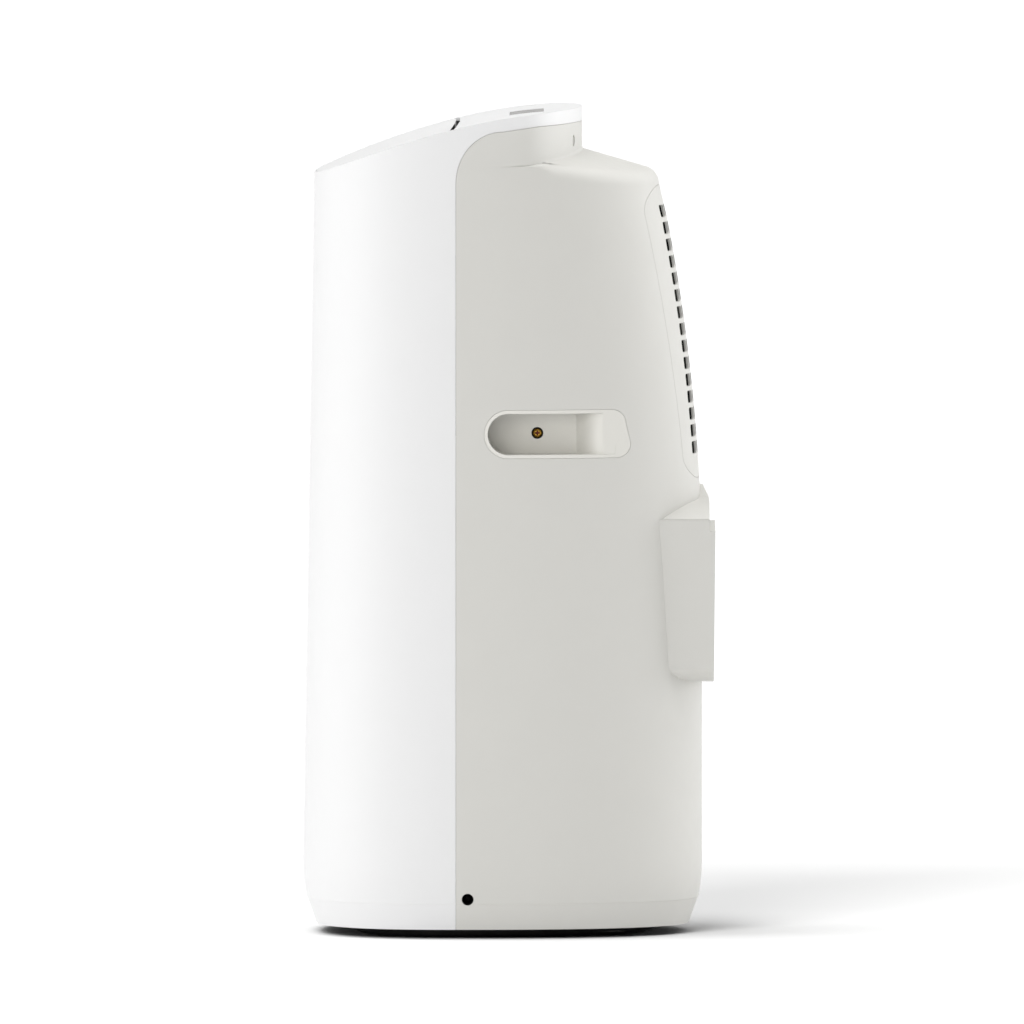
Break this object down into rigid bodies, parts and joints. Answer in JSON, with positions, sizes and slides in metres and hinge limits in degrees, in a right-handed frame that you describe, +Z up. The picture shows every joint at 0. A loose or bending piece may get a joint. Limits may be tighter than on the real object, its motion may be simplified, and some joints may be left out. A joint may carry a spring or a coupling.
{
  "type": "dehumidifier",
  "caption": "Floor-standing dehumidifier with a white front shell, a grey back, a tilting top louver, side hand recesses, a rear intake grille and a rear exhaust duct outlet.",
  "frame": {"origin": "on the floor, under the middle of the casing's outer box", "axes": "+Z up, -Y is the white front, +Y is the back with the intake grille and the duct outlet, +X is on the right hand of someone who stands in front of the machine and faces it"},
  "size_m": [0.344, 0.35, 0.702],
  "materials": {
    "white_plastic": "fine moulded grain, satin",
    "grey_plastic": "warm grey, fine moulded grain, satin",
    "display_plastic": "smooth translucent window",
    "button_plastic": "satin key tops",
    "filter_mesh": "woven nylon filter mesh in a thin frame",
    "dark_plastic": "moulded, fine grain",
    "brass_screw": "zinc-yellow plated screw",
    "steel": "plain zinc-plated sheet and steel",
    "cap_plastic": "satin press-in cap",
    "black_plastic": "moulded black, coarse grain",
    "black_paint": "black enamel",
    "copper": "drawn copper tube",
    "aluminium": "bare fins",
    "control_box_plastic": "flame-retardant plastic",
    "rubber": "moulded grey rubber",
    "rubber_black": "moulded black rubber",
    "wheel_plastic": "hard nylon tread"
  },
  "bodies": {
    "cabinet": {"accumulator": "black_paint", "air_outlet_duct": "dark_plastic", "base_pan": "black_plastic", "base_screw_left": "steel", "base_screw_right": "steel", "blower_housing": "dark_plastic", "blower_motor": "steel", "capillary_tube": "copper", "chassis_plate": "steel", "compressor": "black_paint", "compressor_mount_1": "rubber_black", "compressor_mount_2": "rubber_black", "compressor_mount_3": "rubber_black", "condenser_coil": "copper", "control_box": "control_box_plastic", "cord_gland": "dark_plastic", "discharge_pipe": "copper", "display_window": "display_plastic", "duct_collar": "dark_plastic", "duct_hood": "grey_plastic", "evaporator_coil": "aluminium", "exhaust_fan_motor": "steel", "exhaust_guard": "dark_plastic", "exhaust_housing": "grey_plastic", "fan_shroud": "dark_plastic", "front_shell": "white_plastic", "handle_insert_left": "grey_plastic", "handle_insert_right": "grey_plastic", "handle_screw_left": "brass_screw", "handle_screw_right": "brass_screw", "louver_motor": "steel", "neck_screw_cap_left": "cap_plastic", "neck_screw_cap_right": "cap_plastic", "rear_shell": "grey_plastic", "suction_pipe": "copper"},
    "louver": {"louver_flap": "white_plastic"},
    "intake_panel": {"intake_grille": "grey_plastic", "filter_screen": "filter_mesh"},
    "vane_1": {"vane_1": "white_plastic"},
    "vane_2": {"vane_2": "white_plastic"},
    "vane_3": {"vane_3": "white_plastic"},
    "vane_4": {"vane_4": "white_plastic"},
    "vane_5": {"vane_5": "white_plastic"},
    "vane_link": {"vane_link": "dark_plastic"},
    "button_power": {"button_power": "button_plastic"},
    "button_mode": {"button_mode": "button_plastic"},
    "button_down": {"button_down": "button_plastic"},
    "button_up": {"button_up": "button_plastic"},
    "upper_drain_plug": {"upper_drain_plug": "rubber"},
    "lower_drain_plug": {"lower_drain_plug": "rubber"},
    "blower_wheel": {"blower_wheel": "dark_plastic"},
    "exhaust_fan": {"exhaust_fan": "dark_plastic"},
    "caster_front_right": {"caster_fork_front_right": "black_plastic"},
    "wheel_front_right": {"caster_wheel_front_right": "wheel_plastic"},
    "caster_front_left": {"caster_fork_front_left": "black_plastic"},
    "wheel_front_left": {"caster_wheel_front_left": "wheel_plastic"},
    "caster_rear_right": {"caster_fork_rear_right": "black_plastic"},
    "wheel_rear_right": {"caster_wheel_rear_right": "wheel_plastic"},
    "caster_rear_left": {"caster_fork_rear_left": "black_plastic"},
    "wheel_rear_left": {"caster_wheel_rear_left": "wheel_plastic"}
  },
  "joints": [
    {"name": "louver_tilt", "type": "hinge", "parent": "cabinet", "child": "louver", "pos_m": [0, -0.046, 0.6876], "axis": [-1, 0, 0], "range_deg": [0, 70]},
    {"name": "intake_panel_tilt", "type": "hinge", "parent": "cabinet", "child": "intake_panel", "pos_m": [0, 0.1615, 0.387], "axis": [-1, 0, 0], "range_deg": [0, 35]},
    {"name": "vane_1_swing", "type": "hinge", "parent": "cabinet", "child": "vane_1", "pos_m": [-0.07, -0.103, 0.6], "axis": [0, 0, 1], "range_deg": [-35, 35]},
    {"name": "vane_2_swing", "type": "hinge", "parent": "cabinet", "child": "vane_2", "pos_m": [-0.035, -0.103, 0.6], "axis": [0, 0, 1], "range_deg": [-35, 35]},
    {"name": "vane_3_swing", "type": "hinge", "parent": "cabinet", "child": "vane_3", "pos_m": [0, -0.103, 0.6], "axis": [0, 0, 1], "range_deg": [-35, 35]},
    {"name": "vane_4_swing", "type": "hinge", "parent": "cabinet", "child": "vane_4", "pos_m": [0.035, -0.103, 0.6], "axis": [0, 0, 1], "range_deg": [-35, 35]},
    {"name": "vane_5_swing", "type": "hinge", "parent": "cabinet", "child": "vane_5", "pos_m": [0.07, -0.103, 0.6], "axis": [0, 0, 1], "range_deg": [-35, 35]},
    {"name": "vane_link_pivot", "type": "hinge", "parent": "vane_1", "child": "vane_link", "pos_m": [-0.07, -0.083, 0.6316], "axis": [0, 0, 1], "range_deg": [-35, 35]},
    {"name": "button_power_press", "type": "slide", "parent": "cabinet", "child": "button_power", "axis": [0, 0, -1], "range_m": [0, 0.0012], "stiffness_N_per_m": 300},
    {"name": "button_mode_press", "type": "slide", "parent": "cabinet", "child": "button_mode", "axis": [0, 0, -1], "range_m": [0, 0.0012], "stiffness_N_per_m": 300},
    {"name": "button_down_press", "type": "slide", "parent": "cabinet", "child": "button_down", "axis": [0, 0, -1], "range_m": [0, 0.0012], "stiffness_N_per_m": 300},
    {"name": "button_up_press", "type": "slide", "parent": "cabinet", "child": "button_up", "axis": [0, 0, -1], "range_m": [0, 0.0012], "stiffness_N_per_m": 300},
    {"name": "upper_drain_plug_pull", "type": "slide", "parent": "cabinet", "child": "upper_drain_plug", "axis": [0, 1, 0], "range_m": [0, 0.03]},
    {"name": "lower_drain_plug_pull", "type": "slide", "parent": "cabinet", "child": "lower_drain_plug", "axis": [0, 1, 0], "range_m": [0, 0.03]},
    {"name": "blower_wheel_spin", "type": "hinge", "parent": "cabinet", "child": "blower_wheel", "pos_m": [0, -0.062, 0.5], "axis": [1, 0, 0], "continuous": true},
    {"name": "exhaust_fan_spin", "type": "hinge", "parent": "cabinet", "child": "exhaust_fan", "pos_m": [0, 0.11, 0.284], "axis": [0, 1, 0], "continuous": true},
    {"name": "caster_front_right_swivel", "type": "hinge", "parent": "cabinet", "child": "caster_front_right", "pos_m": [0.078, -0.085, 0.04], "axis": [0, 0, 1], "continuous": true},
    {"name": "wheel_front_right_spin", "type": "hinge", "parent": "caster_front_right", "child": "wheel_front_right", "pos_m": [0.078, -0.078, 0.014], "axis": [1, 0, 0], "continuous": true},
    {"name": "caster_front_left_swivel", "type": "hinge", "parent": "cabinet", "child": "caster_front_left", "pos_m": [-0.078, -0.085, 0.04], "axis": [0, 0, 1], "continuous": true},
    {"name": "wheel_front_left_spin", "type": "hinge", "parent": "caster_front_left", "child": "wheel_front_left", "pos_m": [-0.078, -0.078, 0.014], "axis": [1, 0, 0], "continuous": true},
    {"name": "caster_rear_right_swivel", "type": "hinge", "parent": "cabinet", "child": "caster_rear_right", "pos_m": [0.078, 0.07, 0.04], "axis": [0, 0, 1], "continuous": true},
    {"name": "wheel_rear_right_spin", "type": "hinge", "parent": "caster_rear_right", "child": "wheel_rear_right", "pos_m": [0.078, 0.077, 0.014], "axis": [1, 0, 0], "continuous": true},
    {"name": "caster_rear_left_swivel", "type": "hinge", "parent": "cabinet", "child": "caster_rear_left", "pos_m": [-0.078, 0.07, 0.04], "axis": [0, 0, 1], "continuous": true},
    {"name": "wheel_rear_left_spin", "type": "hinge", "parent": "caster_rear_left", "child": "wheel_rear_left", "pos_m": [-0.078, 0.077, 0.014], "axis": [1, 0, 0], "continuous": true}
  ],
  "couplings": [
    {"joint": "vane_2_swing", "follows": "vane_1_swing", "ratio": 1},
    {"joint": "vane_3_swing", "follows": "vane_1_swing", "ratio": 1},
    {"joint": "vane_4_swing", "follows": "vane_1_swing", "ratio": 1},
    {"joint": "vane_5_swing", "follows": "vane_1_swing", "ratio": 1},
    {"joint": "vane_link_pivot", "follows": "vane_1_swing", "ratio": -1}
  ]
}
